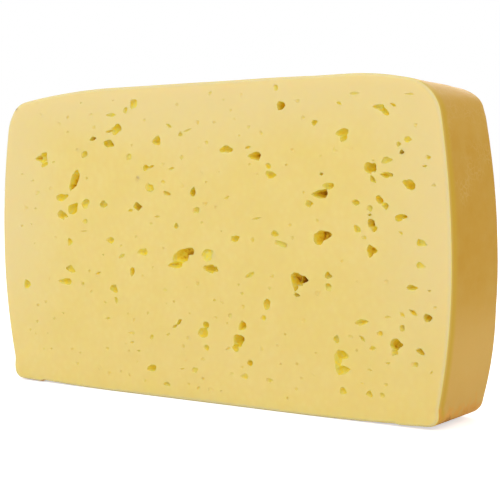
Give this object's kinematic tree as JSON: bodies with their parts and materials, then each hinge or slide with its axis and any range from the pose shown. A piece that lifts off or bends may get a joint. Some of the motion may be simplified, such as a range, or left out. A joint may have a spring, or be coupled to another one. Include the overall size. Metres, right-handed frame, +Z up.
{
  "type": "semi-hard cheese block",
  "caption": "Upright slab cut from a pressed semi-hard cheese, with rounded rind round the rim and irregular eyes in both cut faces.",
  "frame": {"origin": "middle of the flat that the slab stands on, level with its underside", "axes": "+X along the width of the cut face, +Y through the slab from the front cut face to the back one, +Z up"},
  "size_m": [0.28, 0.0406, 0.157],
  "materials": {
    "cheese_paste": "smooth matte cut cheese, pale butter yellow, with a thin ochre rind round the rim"
  },
  "bodies": {
    "root": {"cheese_block": "cheese_paste"}
  },
  "joints": []
}
